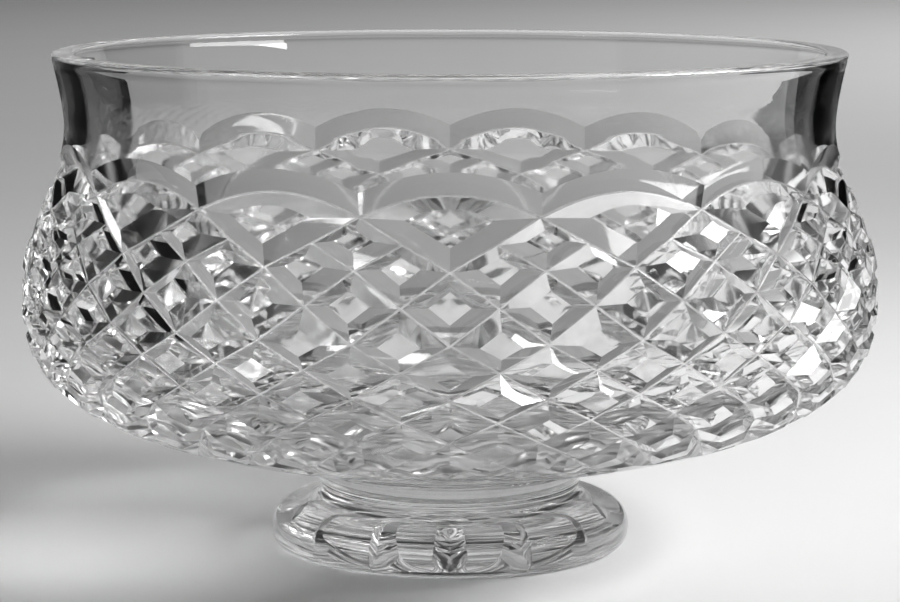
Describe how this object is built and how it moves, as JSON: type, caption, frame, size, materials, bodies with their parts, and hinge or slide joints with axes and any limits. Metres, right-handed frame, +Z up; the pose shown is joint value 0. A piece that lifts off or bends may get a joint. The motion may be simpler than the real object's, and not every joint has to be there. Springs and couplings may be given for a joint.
{
  "type": "trifle bowl",
  "caption": "Footed clear cut-glass trifle bowl: plain flared neck, band of arches, diamond-cut body, ringed collar and a round foot with a star cut under it.",
  "frame": {"origin": "centre of the resting ring under the foot, on the surface that the bowl stands on", "axes": "+Z up along the bowl's axis, -Y towards the pictured front, through the crown of an arch"},
  "size_m": [0.231, 0.231, 0.135],
  "materials": {
    "crystal": "polished"
  },
  "bodies": {
    "root": {"bowl": "crystal", "collar": "crystal", "foot": "crystal"}
  },
  "joints": []
}
